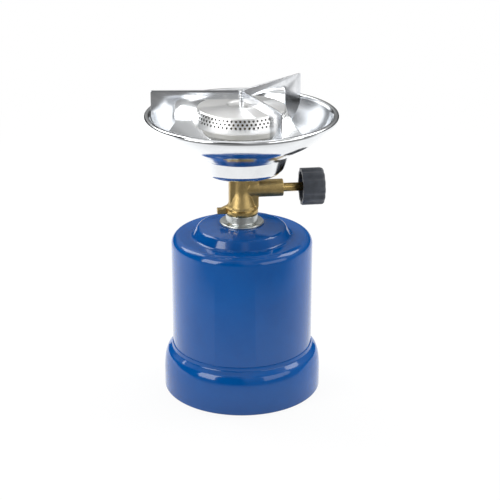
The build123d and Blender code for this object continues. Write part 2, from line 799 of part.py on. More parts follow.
for level, (name, heading) in enumerate(support_headings.items()):
    eye_low = eye_top - (level + 1) * eye_step + face_gap
    foot_middle = (support_reach + leg_tip_radius) / 2
    with BuildPart() as fin:
        with BuildSketch(upright(heading)):
            with BuildLine():
                ThreePointArc((support_reach, foot_height(support_reach)),
                              (foot_middle, foot_height(foot_middle)),
                              (leg_tip_radius, foot_height(leg_tip_radius)))
                FilletPolyline(
                    (leg_tip_radius, foot_height(leg_tip_radius)),
                    (leg_inner_radius, support_height - leg_inner_drop),
                    (leg_inner_radius, bridge_foot), (plate_start, bridge_foot),
                    (plate_start, support_height), (support_reach, support_height),
                    (support_reach, foot_height(support_reach)),
                    radius=[support_sheet, leg_corner_radius, support_sheet / 4,
                            support_sheet / 4, support_sheet])
            make_face()
            with Locations((plate_start / 2, eye_low + eye_height / 2)):
                Rectangle(plate_start + overrun, eye_height)
        extrude(amount=support_sheet / 2, both=True)
        with BuildSketch(Plane.XY.offset(eye_low)):
            Circle(eye_radius)
        extrude(amount=eye_height)
        with BuildSketch(Plane.XY.offset(eye_low)):
            Circle(pin_radius + run_gap)
        extrude(amount=eye_height, mode=Mode.SUBTRACT)
    fin.part.label = name
    export_step(fin.part, f"parts/{name}.step")
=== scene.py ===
import math

import bmesh
import bpy
from mathutils import Matrix, Vector


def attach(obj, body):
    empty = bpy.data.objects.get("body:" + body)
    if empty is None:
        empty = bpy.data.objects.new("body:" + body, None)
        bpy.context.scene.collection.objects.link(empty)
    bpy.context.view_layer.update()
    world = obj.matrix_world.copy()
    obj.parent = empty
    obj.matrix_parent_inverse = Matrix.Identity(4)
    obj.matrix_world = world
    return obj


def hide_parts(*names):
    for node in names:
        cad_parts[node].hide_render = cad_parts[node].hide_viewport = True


# Camping gas stove. Every length in the dictionaries is in millimetres, every angle in degrees.
mm = 0.001
quarterTurn = math.pi / 2
fullTurn = 2 * math.pi
shaping = {
    "merge": 0.002,  # vertices nearer than this are one
    "near": 0.01,  # a vertex this near a plane lies on it
    "flat": 0.5,  # faces of a CAD copy that turn by less than this are one
    "arcStep": 7,  # a round corner's segments turn by about this much
    "clear": 0.9999,  # share of a round corner's tangent that its bevel takes
}

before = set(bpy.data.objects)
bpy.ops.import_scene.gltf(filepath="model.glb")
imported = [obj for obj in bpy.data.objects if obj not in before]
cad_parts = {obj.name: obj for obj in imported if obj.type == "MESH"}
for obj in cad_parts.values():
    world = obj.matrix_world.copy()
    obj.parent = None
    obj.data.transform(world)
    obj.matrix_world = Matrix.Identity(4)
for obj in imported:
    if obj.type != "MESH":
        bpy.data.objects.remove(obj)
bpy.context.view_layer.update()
print("frame loaded:", len(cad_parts), "nodes")


# selecting and shaping

def startClean():
    if bpy.context.mode != "OBJECT":
        bpy.ops.object.mode_set(mode="OBJECT")
    bpy.ops.object.select_all(action="DESELECT")


def pickOnly(piece):
    startClean()
    piece.select_set(True)
    bpy.context.view_layer.objects.active = piece


def edit(piece, mode="VERT"):
    pickOnly(piece)
    bpy.ops.object.mode_set(mode="EDIT")
    bpy.ops.mesh.select_mode(type=mode)
    bpy.ops.mesh.select_all(action="DESELECT")


def leaveEdit():
    bpy.ops.object.mode_set(mode="OBJECT")


def pickVertices(test):
    # selects the vertices whose place passes the test, in the piece being edited
    shown = bmesh.from_edit_mesh(bpy.context.object.data)
    for vertex in shown.verts:
        vertex.select = test(vertex.co)
    shown.select_flush_mode()
    bmesh.update_edit_mesh(bpy.context.object.data)


def pickFaces(test):
    # the same for faces, by their middle and normal
    shown = bmesh.from_edit_mesh(bpy.context.object.data)
    for face in shown.faces:
        face.select = test(face.calc_center_median(), face.normal)
    shown.select_flush_mode()
    bmesh.update_edit_mesh(bpy.context.object.data)


def applyPlace(piece, name):
    pickOnly(piece)
    bpy.ops.object.transform_apply(location=True, rotation=True, scale=True)
    piece.name = name
    piece.data.name = name
    return piece


def addModifier(piece, kind, **settings):
    pickOnly(piece)
    modifier = piece.modifiers.new(kind.title(), kind)
    for setting, value in settings.items():
        setattr(modifier, setting, value)
    bpy.ops.object.modifier_apply(modifier=modifier.name)
    return piece


def softenEdges(piece, width, segments=2, angle=40):
    return addModifier(piece, "BEVEL", width=width * mm, segments=segments, limit_method="ANGLE",
                       angle_limit=math.radians(angle), harden_normals=False)


def smoothOver(piece, angle=32):
    pickOnly(piece)
    bpy.ops.object.shade_smooth_by_angle(angle=math.radians(angle))
    return piece


def recalculate(piece):
    edit(piece)
    bpy.ops.mesh.select_all(action="SELECT")
    bpy.ops.mesh.remove_doubles(threshold=shaping["merge"] * mm)
    bpy.ops.mesh.normals_make_consistent(inside=False)
    leaveEdit()
    return piece


def copyOfNode(node, name):
    # a copy of a CAD node's mesh, its loose triangles merged
    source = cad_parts[node]
    piece = bpy.data.objects.new(name, source.data.copy())
    bpy.context.scene.collection.objects.link(piece)
    piece.data.materials.clear()
    edit(piece)
    bpy.ops.mesh.select_all(action="SELECT")
    bpy.ops.mesh.remove_doubles(threshold=shaping["merge"] * mm)
    bpy.ops.mesh.dissolve_limited(angle_limit=math.radians(shaping["flat"]))
    leaveEdit()
    return piece


def roundedPath(corners):
    # each corner's place with the tangent length and segments of its round, for the bevel
    path = []
    for index, corner in enumerate(corners):
        place = Vector((corner[0], 0, corner[1])) * mm
        tangent, segments = 0, 0
        if len(corner) > 2:
            before = Vector(corners[index - 1][:2]) - Vector(corner[:2])
            after = Vector(corners[(index + 1) % len(corners)][:2]) - Vector(corner[:2])
            turn = math.pi - before.angle(after)
            tangent = corner[2] * math.tan(turn / 2) * mm
            segments = max(3, round(math.degrees(turn) / shaping["arcStep"]))
        path.append((place, tangent, segments))
    return path


def profile(name, corners, closed=False):
    # a wire drawn corner by corner in the XZ plane, its round corners bevelled
    path = roundedPath(corners)
    startClean()
    bpy.ops.mesh.primitive_circle_add(vertices=3, radius=mm, location=path[0][0])
    piece = applyPlace(bpy.context.object, name)
    edit(piece)
    bpy.ops.mesh.select_all(action="SELECT")
    bpy.ops.mesh.merge(type="CENTER")
    for (start, _, _), (end, _, _) in zip(path, path[1:]):
        bpy.ops.mesh.extrude_region_move(TRANSFORM_OT_translate={"value": end - start})
    if closed:
        back = path[0][0] - path[-1][0]
        bpy.ops.mesh.extrude_region_move(TRANSFORM_OT_translate={"value": back})
        bpy.ops.mesh.select_all(action="SELECT")
        bpy.ops.mesh.remove_doubles(threshold=shaping["merge"] * mm)
    for place, tangent, segments in path:
        if tangent:
            pickVertices(lambda co, place=place: (co - place).length < shaping["merge"] * mm)
            bpy.ops.mesh.bevel(offset=tangent * shaping["clear"], offset_type="OFFSET",
                               segments=segments, affect="VERTICES", clamp_overlap=False)
    leaveEdit()
    return piece


def spinRound(piece, steps):
    edit(piece)
    bpy.ops.mesh.select_all(action="SELECT")
    bpy.ops.mesh.spin(steps=steps, angle=fullTurn, center=(0, 0, 0), axis=(0, 0, 1))
    leaveEdit()
    return recalculate(piece)


def spunSheet(name, corners, wall, steps=216, edge=0.12):
    # sheet drawn to shape: the corners are its outer side, and the wall lies to their left
    piece = spinRound(profile(name, corners), steps)
    first, second = Vector(corners[0][:2]), Vector(corners[1][:2])
    along = (second - first).normalized()
    outwards = Vector((along.y, 0, -along.x))
    middle = (first + second) / 2
    middle = Vector((middle.x, 0, middle.y)) * mm
    nearest = min(piece.data.polygons, key=lambda face: (face.center - middle).length)
    if nearest.normal.dot(outwards) < 0:
        edit(piece)
        bpy.ops.mesh.select_all(action="SELECT")
        bpy.ops.mesh.flip_normals()
        leaveEdit()
    addModifier(piece, "SOLIDIFY", thickness=wall * mm, offset=-1, use_even_offset=True,
                use_quality_normals=True)
    softenEdges(piece, edge, angle=55)
    return smoothOver(piece)


def spunSolid(name, corners, steps=144, edge=0.15):
    piece = spinRound(profile(name, corners, closed=True), steps)
    if edge:
        softenEdges(piece, edge)
    return smoothOver(piece)


def cylinder(name, radius, start, end, vertices=48):
    # a cylinder from one point to another
    first, last = Vector(start) * mm, Vector(end) * mm
    run = last - first
    startClean()
    bpy.ops.mesh.primitive_cylinder_add(
        vertices=vertices, radius=radius * mm, depth=run.length, location=(first + last) / 2,
        rotation=run.to_track_quat("Z", "Y").to_euler())
    return applyPlace(bpy.context.object, name)


def copyTurned(piece, angle, name):
    # a copy with its own mesh, turned about the object's upright axis
    made = bpy.data.objects.new(name, piece.data.copy())
    bpy.context.scene.collection.objects.link(made)
    made.data.transform(Matrix.Rotation(math.radians(angle), 4, "Z"))
    return made


def joined(pieces, name):
    pickOnly(pieces[0])
    for piece in pieces[1:]:
        piece.select_set(True)
    bpy.ops.object.join()
    pieces[0].name = name
    pieces[0].data.name = name
    return pieces[0]


def cutAway(piece, cutter):
    addModifier(piece, "BOOLEAN", operation="DIFFERENCE", object=cutter, solver="EXACT")
    bpy.data.objects.remove(cutter)
    return piece


def finish(piece, body, slot, material, *nodes):
    # material, body, a slot name that nothing reads, and the CAD nodes that the piece stands for
    piece.data.materials.clear()
    piece.data.materials.append(material)
    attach(piece, body)
    if nodes:
        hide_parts(*nodes)
    return piece


# finishes

class Socket:
    # an output of a material's node; sums and products of it add Math nodes
    def __init__(self, tree, socket=None):
        self.tree = tree
        self.socket = socket

    def node(self, kind, settings=None, sockets=None, output=0):
        made = self.tree.nodes.new(kind)
        for setting, value in (settings or {}).items():
            setattr(made, setting, value)
        for name, value in (sockets or {}).items():
            if isinstance(value, Socket):
                self.tree.links.new(value.socket, made.inputs[name])
            else:
                made.inputs[name].default_value = value
        return Socket(self.tree, made.outputs[output])

    def maths(self, operation, first, second=0.0):
        return self.node("ShaderNodeMath", {"operation": operation}, {0: first, 1: second})

    def __add__(self, other):
        return self.maths("ADD", self, other)

    def __radd__(self, other):
        return self.maths("ADD", other, self)

    def __sub__(self, other):
        return self.maths("SUBTRACT", self, other)

    def __rsub__(self, other):
        return self.maths("SUBTRACT", other, self)

    def __mul__(self, other):
        return self.maths("MULTIPLY", self, other)

    def __rmul__(self, other):
        return self.maths("MULTIPLY", other, self)

    def __truediv__(self, other):
        return self.maths("DIVIDE", self, other)

    def __rtruediv__(self, other):
        return self.maths("DIVIDE", other, self)

    def __pow__(self, other):
        return self.maths("POWER", self, other)

    def clamped(self, low, high):
        # 0 below low, 1 above high, straight between
        return self.node("ShaderNodeMapRange", {"clamp": True},
                         {"Value": self, "From Min": low, "From Max": high})

    def noise(self, place, size, detail=3, roughness=0.6):
        # size is the pattern's grain in millimetres
        return self.node("ShaderNodeTexNoise", {},
                         {"Vector": place, "Scale": 1 / (size * mm), "Detail": detail,
                          "Roughness": roughness})

    def blend(self, first, second):
        # colour between first and second, this socket the share of the second
        return self.node("ShaderNodeMix", {"data_type": "RGBA"},
                         {"Factor": self, 6: first, 7: second}, output=2)

    def stretched(self, place, scale):
        return self.node("ShaderNodeVectorMath", {"operation": "MULTIPLY"}, {0: place, 1: scale})

    def bump(self, height, strength, depth):
        # depth is the relief in millimetres
        return self.node("ShaderNodeBump", {},
                         {"Height": height, "Strength": strength, "Distance": depth * mm})


def colour(red, green, blue):
    return (red, green, blue, 1)


def grey(level):
    return colour(level, level, level)


def newFinish(name, **constants):
    # a material with its Principled node, the constants set on its own sockets
    material = bpy.data.materials.new(name)
    material.use_nodes = True
    tree = material.node_tree
    surface = tree.nodes["Principled BSDF"]
    for socket, value in constants.items():
        surface.inputs[socket.replace("_", " ")].default_value = value
    start = Socket(tree)
    place = start.node("ShaderNodeTexCoord", output=3)
    return material, surface, start, place


def connect(material, surface, **links):
    for socket, value in links.items():
        material.node_tree.links.new(value.socket, surface.inputs[socket.replace("_", " ")])
    return material


def axesOf(start, place):
    split = start.node("ShaderNodeSeparateXYZ", {}, {0: place})
    outputs = split.socket.node.outputs
    return [Socket(start.tree, outputs[index]) for index in range(3)]


def turnedRings(start, place):
    # a pattern's place that is the same all round the upright axis, and the radius and height
    x, y, z = axesOf(start, place)
    radius = (x * x + y * y) ** 0.5
    return start.node("ShaderNodeCombineXYZ", {}, {"X": radius, "Z": z}), radius, z


enamel = {
    "deep": colour(0.000, 0.064, 0.262), "light": colour(0.000, 0.076, 0.300),
    "peel": 2.2, "peelDepth": 0.010, "cloud": 40, "dust": 5, "dusty": 0.3,
    "patches": (0.35, 0.65), "relief": 0.6,
    "coatRough": 0.08, "coatIor": 1.46, "rough": 0.30, "roughDust": 0.14,
}


def enamelFinish():
    # blue stove enamel: an even coat with a faint orange peel, a little paler in places
    material, surface, start, place = newFinish(
        "blueEnamel", Specular_IOR_Level=0.0, Coat_Weight=1.0,
        Coat_Roughness=enamel["coatRough"], Coat_IOR=enamel["coatIor"])
    cloud = start.noise(place, enamel["cloud"], 2, 0.55)
    dust = start.noise(place, enamel["dust"], 4, 0.7)
    patches = cloud * (1 - enamel["dusty"]) + dust * enamel["dusty"]
    paint = patches.clamped(*enamel["patches"]).blend(enamel["deep"], enamel["light"])
    peel = start.noise(place, enamel["peel"], 2, 0.4)
    return connect(material, surface, Base_Color=paint,
                   Normal=start.bump(peel, enamel["relief"], enamel["peelDepth"]),
                   Roughness=dust * enamel["roughDust"] + enamel["rough"])


chrome = {
    "bright": colour(0.83, 0.845, 0.86), "dull": colour(0.74, 0.76, 0.78),
    "smear": 14, "spin": 1.1, "spinDepth": 0.0015, "wave": 22, "waveDepth": 0.05,
    "patches": (0.3, 0.75), "relief": 0.5, "waveRelief": 0.6,
    "rough": 0.10, "roughSmear": 0.08, "smeared": (0.35, 0.8),
}


def chromeFinish():
    # bright plating on spun sheet: round marks of the spinning, faint smears, a slow waviness
    material, surface, start, place = newFinish("dishChrome", Metallic=1.0)
    rings, _, _ = turnedRings(start, place)
    smear = start.noise(place, chrome["smear"], 4, 0.65)
    lines = start.noise(rings, chrome["spin"], 2)
    wave = start.noise(place, chrome["wave"], 1, 0.3)
    fine = start.bump(lines, chrome["relief"], chrome["spinDepth"])
    slow = start.node("ShaderNodeBump", {},
                      {"Height": wave, "Strength": chrome["waveRelief"], "Normal": fine,
                       "Distance": chrome["waveDepth"] * mm})
    tint = smear.clamped(*chrome["patches"]).blend(chrome["bright"], chrome["dull"])
    rough = smear.clamped(*chrome["smeared"]) * chrome["roughSmear"]
    return connect(material, surface, Normal=slow, Base_Color=tint,
                   Roughness=rough + chrome["rough"])


supportSteel = {
    "bright": colour(0.84, 0.85, 0.87), "dull": colour(0.68, 0.70, 0.73),
    "grain": 1.6, "grainDepth": 0.003, "drawn": 14, "blot": 9,
    "patches": (0.3, 0.7), "relief": 0.5,
    "rough": 0.13, "roughGrain": 0.08, "roughBlot": 0.08,
}


def supportFinish():
    # plated sheet with the rolling grain of the strip it was punched from
    material, surface, start, place = newFinish("supportPlate", Metallic=1.0)
    drawn = start.stretched(place, (1, 1, supportSteel["drawn"]))
    grain = start.noise(drawn, supportSteel["grain"])
    blot = start.noise(place, supportSteel["blot"])
    patches = blot.clamped(*supportSteel["patches"])
    tint = patches.blend(supportSteel["bright"], supportSteel["dull"])
    rough = grain * supportSteel["roughGrain"] + blot * supportSteel["roughBlot"]
    return connect(material, surface, Base_Color=tint,
                   Normal=start.bump(grain, supportSteel["relief"], supportSteel["grainDepth"]),
                   Roughness=rough + supportSteel["rough"])


headSteel = {
    "bright": colour(0.92, 0.92, 0.91), "warm": colour(0.52, 0.50, 0.45),
    # the near-black colour below is painted shade for the skirt's inner side, seen through the
    # ports
    "hollow": colour(0.02, 0.02, 0.02), "press": 0.9, "pressDepth": 0.004,
    "patches": (0.40, 0.75), "relief": 0.5, "heat": 12, "heated": 0.2, "lowTint": 0.7,
    "rough": 0.28, "roughLines": 0.10, "roughHeat": 0.12,
    "seamLow": 183.8, "seamHigh": 184.8,  # below the seam the sheet is warmer
    # where the painted shade lies, the inner side of the cap's skirt: its radius at the foot, how
    # it narrows, and its top
    "skirtRadius": 31.0, "skirtFoot": 184.5, "narrowing": 0.268, "skirtStart": 184.3,
    "skirtEnd": 193.6, "skirtTop": 194.1, "inside": 0.15, "deepInside": 0.4,
}


def headFinish():
    # pressed stainless sheet of the burner head, straw-tinted by heat in patches, with painted
    # shade on the skirt's inner side
    material, surface, start, place = newFinish("headSteel", Metallic=1.0)
    rings, radius, z = turnedRings(start, place)
    lines = start.noise(rings, headSteel["press"])
    heat = start.noise(place, headSteel["heat"])
    low = 1 - z.clamped(headSteel["seamLow"] * mm, headSteel["seamHigh"] * mm)
    patches = heat.clamped(*headSteel["patches"])
    warmth = patches * headSteel["heated"] + low * headSteel["lowTint"]
    tint = warmth.blend(headSteel["bright"], headSteel["warm"])
    # painted shade: the far side of the skirt's sheet, seen through the ports, is painted near
    # black so that the ports read as holes
    narrowed = (z - headSteel["skirtFoot"] * mm) * headSteel["narrowing"]
    depth = headSteel["skirtRadius"] * mm - narrowed - radius
    above = z.clamped(headSteel["skirtStart"] * mm, headSteel["seamHigh"] * mm)
    below = 1 - z.clamped(headSteel["skirtEnd"] * mm, headSteel["skirtTop"] * mm)
    hollow = depth.clamped(headSteel["inside"] * mm, headSteel["deepInside"] * mm) * above * below
    rough = lines * headSteel["roughLines"] + heat * headSteel["roughHeat"]
    return connect(material, surface, Base_Color=hollow.blend(tint, headSteel["hollow"]),
                   Normal=start.bump(lines, headSteel["relief"], headSteel["pressDepth"]),
                   Roughness=rough + headSteel["rough"])


brass = {
    "bright": colour(0.66, 0.48, 0.19), "brown": colour(0.40, 0.28, 0.10),
    "forged": colour(0.60, 0.44, 0.185), "forgedBrown": colour(0.34, 0.245, 0.10),
    "skin": 0.55, "skinDepth": 0.05, "cloud": 6, "turning": 0.30, "turningDepth": 0.008,
    "drawing": 0.4, "drawingDepth": 0.006, "drawn": 0.06,
    "patches": (0.3, 0.7), "forgedPatches": (0.35, 0.65), "relief": 0.6, "forgedRelief": 0.7,
    "rough": 0.18, "roughLines": 0.10, "roughCloud": 0.10, "drawnLines": 0.12, "drawnCloud": 0.08,
    "forgedRough": 0.30, "forgedSkin": 0.16, "forgedCloud": 0.14,
}


def forgedBrassFinish():
    # hot forged brass, blasted: a fine grainy skin, browner where it is rough
    material, surface, start, place = newFinish("forgedBrass", Metallic=1.0)
    skin = start.noise(place, brass["skin"], 4)
    cloud = start.noise(place, brass["cloud"])
    patches = (skin * 0.5 + cloud * 0.5).clamped(*brass["forgedPatches"])
    rough = skin * brass["forgedSkin"] + cloud * brass["forgedCloud"]
    return connect(material, surface,
                   Base_Color=patches.blend(brass["forgedBrown"], brass["forged"]),
                   Normal=start.bump(skin, brass["forgedRelief"], brass["skinDepth"]),
                   Roughness=rough + brass["forgedRough"])


def turnedBrassFinish():
    # brass turned on a lathe: fine rings round the axis, brighter than the forging
    material, surface, start, place = newFinish("turnedBrass", Metallic=1.0)
    rings, _, _ = turnedRings(start, place)
    lines = start.noise(rings, brass["turning"], 2, 0.5)
    cloud = start.noise(place, brass["cloud"])
    patches = cloud.clamped(*brass["patches"])
    rough = lines * brass["roughLines"] + cloud * brass["roughCloud"]
    return connect(material, surface, Base_Color=patches.blend(brass["bright"], brass["brown"]),
                   Normal=start.bump(lines, brass["relief"], brass["turningDepth"]),
                   Roughness=rough + brass["rough"])


def stemBrassFinish():
    # drawn brass rod, its marks lying along the arm
    material, surface, start, place = newFinish("stemBrass", Metallic=1.0)
    drawn = start.stretched(place, (brass["drawn"], 1, 1))
    lines = start.noise(drawn, brass["drawing"], 2, 0.5)
    cloud = start.noise(place, brass["cloud"])
    patches = cloud.clamped(*brass["patches"])
    rough = lines * brass["drawnLines"] + cloud * brass["drawnCloud"]
    return connect(material, surface, Base_Color=patches.blend(brass["bright"], brass["brown"]),
                   Normal=start.bump(lines, brass["relief"], brass["drawingDepth"]),
                   Roughness=rough + brass["rough"])


zinc = {
    "bright": colour(0.64, 0.66, 0.64), "dull": colour(0.48, 0.51, 0.50),
    "turning": 0.35, "turningDepth": 0.008, "blot": 4, "patches": (0.3, 0.7), "relief": 0.6,
    "rough": 0.20, "roughLines": 0.10, "roughBlot": 0.12,
}


def zincFinish():
    # blue passivated zinc on turned steel
    material, surface, start, place = newFinish("zincPlate", Metallic=1.0)
    rings, _, _ = turnedRings(start, place)
    lines = start.noise(rings, zinc["turning"], 2, 0.5)
    blot = start.noise(place, zinc["blot"])
    rough = lines * zinc["roughLines"] + blot * zinc["roughBlot"]
    return connect(material, surface,
                   Base_Color=blot.clamped(*zinc["patches"]).blend(zinc["bright"], zinc["dull"]),
                   Normal=start.bump(lines, zinc["relief"], zinc["turningDepth"]),
                   Roughness=rough + zinc["rough"])


knobPlastic = {
    "dark": colour(0.036, 0.041, 0.052), "pale": colour(0.058, 0.066, 0.080),
    "grain": 0.25, "grainDepth": 0.012, "rub": 5, "patches": (0.35, 0.75), "relief": 0.6,
    "mirror": 0.45, "rough": 0.34, "roughRub": 0.16, "roughGrain": 0.08,
}


def knobFinish():
    # charcoal moulded plastic with a fine spark-eroded grain, rubbed paler here and there
    material, surface, start, place = newFinish("knobPlastic",
                                                Specular_IOR_Level=knobPlastic["mirror"])
    grain = start.noise(place, knobPlastic["grain"])
    rub = start.noise(place, knobPlastic["rub"])
    patches = rub.clamped(*knobPlastic["patches"])
    rough = rub * knobPlastic["roughRub"] + grain * knobPlastic["roughGrain"]
    return connect(material, surface,
                   Base_Color=patches.blend(knobPlastic["dark"], knobPlastic["pale"]),
                   Normal=start.bump(grain, knobPlastic["relief"], knobPlastic["grainDepth"]),
                   Roughness=rough + knobPlastic["rough"])


plainMetal = {
    "tinplate": {"bright": colour(0.70, 0.71, 0.72), "dull": colour(0.58, 0.59, 0.60),
                 "rough": 0.20},
    "needleSteel": {"bright": colour(0.60, 0.60, 0.61), "dull": colour(0.48, 0.48, 0.50),
                    "rough": 0.18},
    "washerMetal": {"bright": colour(0.74, 0.74, 0.75), "dull": colour(0.62, 0.62, 0.64),
                    "rough": 0.28},
    "grain": 0.8, "blot": 7.2, "grainDepth": 0.005, "patches": (0.3, 0.7), "relief": 0.5,
    "roughGrain": 0.10, "roughBlot": 0.10,
}


def plainMetalFinish(name):
    # turned or rolled metal that is mostly hidden
    material, surface, start, place = newFinish(name, Metallic=1.0)
    metal = plainMetal[name]
    fine = start.noise(place, plainMetal["grain"])
    blot = start.noise(place, plainMetal["blot"])
    patches = blot.clamped(*plainMetal["patches"])
    rough = fine * plainMetal["roughGrain"] + blot * plainMetal["roughBlot"]
    return connect(material, surface, Base_Color=patches.blend(metal["bright"], metal["dull"]),
                   Normal=start.bump(fine, plainMetal["relief"], plainMetal["grainDepth"]),
                   Roughness=rough + metal["rough"])


rubber = {"dark": colour(0.016, 0.016, 0.017), "pale": colour(0.030, 0.030, 0.032),
          "grain": 0.3, "grainDepth": 0.01, "patches": (0.3, 0.7), "relief": 0.5,
          "mirror": 0.35, "rough": 0.55, "roughGrain": 0.15}


def rubberFinish():
    material, surface, start, place = newFinish("sealRubber",
                                                Specular_IOR_Level=rubber["mirror"])
    fine = start.noise(place, rubber["grain"])
    patches = fine.clamped(*rubber["patches"])
    return connect(material, surface, Base_Color=patches.blend(rubber["dark"], rubber["pale"]),
                   Normal=start.bump(fine, rubber["relief"], rubber["grainDepth"]),
                   Roughness=fine * rubber["roughGrain"] + rubber["rough"])


finishes = {
    "enamel": enamelFinish(),
    "chrome": chromeFinish(),
    "support": supportFinish(),
    "head": headFinish(),
    "forged": forgedBrassFinish(),
    "turned": turnedBrassFinish(),
    "stem": stemBrassFinish(),
    "zinc": zincFinish(),
    "knob": knobFinish(),
    "tin": plainMetalFinish("tinplate"),
    "needle": plainMetalFinish("needleSteel"),
    "washer": plainMetalFinish("washerMetal"),
    "rubber": rubberFinish(),
}
print("finishes made:", len(finishes))


# base and casing

baseCup = {
    "outside": [(0, 4.0), (41.0, 4.0, 1.2), (44.5, 0, 1.2), (52.5, 0, 1.2), (52.5, 15.5, 40),
                (51.7, 22.4, 14), (50.1, 26.6, 3.5), (46.95, 29.2, 1.2), (46.95, 32.0)],
    "wall": 0.8,
}
cup = spunSheet("base_cup_skin", baseCup["outside"], baseCup["wall"])
finish(cup, "base", "blue_paint", finishes["enamel"], "base_cup")

casing = {
    "outside": [(46.6, 6.0), (46.6, 107.6, 5.5), (32.8, 106.8, 2.6), (28.8, 113.2, 3.0),
                (16.4, 115.5, 2.0), (11.2, 115.5)],
    "wall": 0.7, "radius": 46.6,
    "lugHeadings": (30, 150, 270), "turn": 24, "slotSide": 4.6,  # the bayonet's slots
    "slotFoot": 11.6, "slotTop": 13.6, "slotDepth": 6, "slotStart": 5.0,
}


def slotCutter(first, last, low, high):
    # a wedge between two headings, from inside the casing's wall to outside it
    radius = casing["radius"]
    half = math.radians(last - first) / 2
    startClean()
    bpy.ops.mesh.primitive_cube_add(size=mm, location=(radius * mm, 0, (low + high) / 2 * mm))
    made = bpy.context.object
    made.scale = (casing["slotDepth"], 2 * radius * math.sin(half), high - low)
    applyPlace(made, "slotCutter")
    made.data.transform(Matrix.Rotation(math.radians((first + last) / 2), 4, "Z"))
    return made


shell = spunSheet("casing_skin", casing["outside"], casing["wall"])
cutters = []
for heading in casing["lugHeadings"]:
    free = heading - casing["turn"]
    across = (free - casing["slotSide"], heading + casing["slotSide"])
    entry = (free - casing["slotSide"], free + casing["slotSide"])
    cutters.append(slotCutter(*across, casing["slotFoot"], casing["slotTop"]))
    cutters.append(slotCutter(*entry, casing["slotStart"], casing["slotTop"]))
for cutter in cutters:
    cutAway(shell, cutter)
smoothOver(shell)
finish(shell, "casing", "blue_paint", finishes["enamel"], "casing_shell")
print("base cup and casing done")

neckBush = {
    "outline": [(8.05, 109.9), (10.8, 109.9), (10.8, 115.5), (14.5, 115.5), (14.5, 116.5),
                (14.0, 117.0), (10.6, 117.0, 0.4), (10.4, 117.6), (10.4, 121.9), (9.9, 122.4),
                (8.05, 122.4)],
}
bush = spunSolid("neck_bush_turned", neckBush["outline"])
finish(bush, "casing", "zinc_plate", finishes["zinc"], "neck_bush")
print("neck bush done")


# valve

valve = {
    "foot": [(5.6, 102.4), (6.8, 102.4), (6.8, 110.4), (7.2, 110.4), (7.2, 122.4),
             (10.8, 122.4), (10.8, 125.8), (10.2, 125.8), (10.2, 126.3), (4.0, 126.3),
             (4.0, 106.1), (5.6, 106.0)],
    "threadOut": 8.0, "threadIn": 7.15, "pitch": 1.5, "threadLow": 110.6, "threadTurns": 7,
    "crestStart": 0.44, "crestEnd": 0.56,  # the crest's place in one pitch
    "bell": [(2.0, 126.1), (10.6, 126.1), (10.6, 126.5), (9.2, 127.9, 1.2), (6.4, 137.0, 9.0),
             (6.4, 151.0), (2.0, 151.0)],
    "coreRadius": 4.0, "bodyFoot": 126.1, "bodyTop": 151.0,
    "blockLeft": 8.3, "blockRight": 10.8, "blockHalfDepth": 4.4, "blockRound": 1.0,
    "armRadius": 5.7, "armLength": 27.0, "armAxis": 138.7, "armChamfer": 0.6,
    "boreRadius": 4.55, "boreStart": 8.0, "boreEnd": 30.0,
    "stopReach": 16.2, "stopRoot": 6, "stopLow": 122.4, "stopHigh": 125.8, "stopWidth": 4.4,
    "webInset": 2.8, "webTop": 129.2, "webFall": 0.98,
    "grain": 0.30, "relax": 6, "footEdge": 0.2, "glandEdge": 0.15, "stemEdge": 0.06,
    "threadSteps": 96, "threadMerge": 0.005, "armSides": 96, "boreSides": 64, "spigotSteps": 72,
    "spigot": [(3.0, 150.5), (5.0, 150.5), (5.0, 160.0), (3.0, 160.0)],
}
foot = spunSolid("valve_foot", valve["foot"], edge=valve["footEdge"])
finish(foot, "valve", "brass", finishes["turned"])


def shankThread():
    # one pitch of the thread's flank, wound up the shank
    low, pitch = valve["threadLow"], valve["pitch"]
    outer, inner = valve["threadOut"], valve["threadIn"]
    flank = [(inner, low), (outer, low + pitch * valve["crestStart"]),
             (outer, low + pitch * valve["crestEnd"]), (inner, low + pitch)]
    piece = profile("valve_thread", flank)
    addModifier(piece, "SCREW", angle=fullTurn, screw_offset=pitch * mm,
                iterations=valve["threadTurns"], steps=valve["threadSteps"],
                render_steps=valve["threadSteps"], use_merge_vertices=True,
                merge_threshold=valve["threadMerge"] * mm, use_smooth_shade=True)
    recalculate(piece)
    return smoothOver(piece, 25)


thread = shankThread()
finish(thread, "valve", "brass", finishes["turned"])


def cubeBetween(name, low, high):
    # a block from its lowest corner to its highest
    low, high = Vector(low), Vector(high)
    startClean()
    bpy.ops.mesh.primitive_cube_add(size=mm, location=(low + high) / 2 * mm)
    bpy.context.object.scale = high - low
    return applyPlace(bpy.context.object, name)


def valveArm():
    arm = cylinder("arm", valve["armRadius"], (0, 0, valve["armAxis"]),
                   (valve["armLength"], 0, valve["armAxis"]), valve["armSides"])
    edit(arm, "EDGE")
    end = (valve["armLength"] - shaping["near"]) * mm
    pickVertices(lambda co: co.x > end)
    bpy.ops.mesh.bevel(offset=valve["armChamfer"] * mm, segments=2)
    leaveEdit()
    return arm


def stopLug():
    # the stop at the foot, with a web that rises from it to the bell
    half = valve["stopWidth"] / 2
    stop = cubeBetween("stop", (-valve["stopReach"], -half, valve["stopLow"]),
                       (-valve["stopRoot"], half, valve["stopHigh"]))
    inner = (valve["webInset"] - valve["stopReach"]) * mm
    rise = (valve["webTop"] - valve["stopHigh"]) * mm
    edit(stop, "FACE")
    bpy.ops.mesh.select_all(action="SELECT")
    bpy.ops.mesh.bisect(plane_co=(inner, 0, 0), plane_no=(1, 0, 0))
    pickFaces(lambda centre, normal: normal.z > 0.9 and centre.x > inner)
    bpy.ops.mesh.extrude_region_move(TRANSFORM_OT_translate={"value": (0, 0, rise)})
    raised, beside = valve["stopHigh"] * mm + rise / 2, inner + shaping["near"] * mm
    pickVertices(lambda co: co.z > raised and co.x < beside)
    bpy.ops.transform.translate(value=(0, 0, -rise * valve["webFall"]))
    leaveEdit()
    return stop


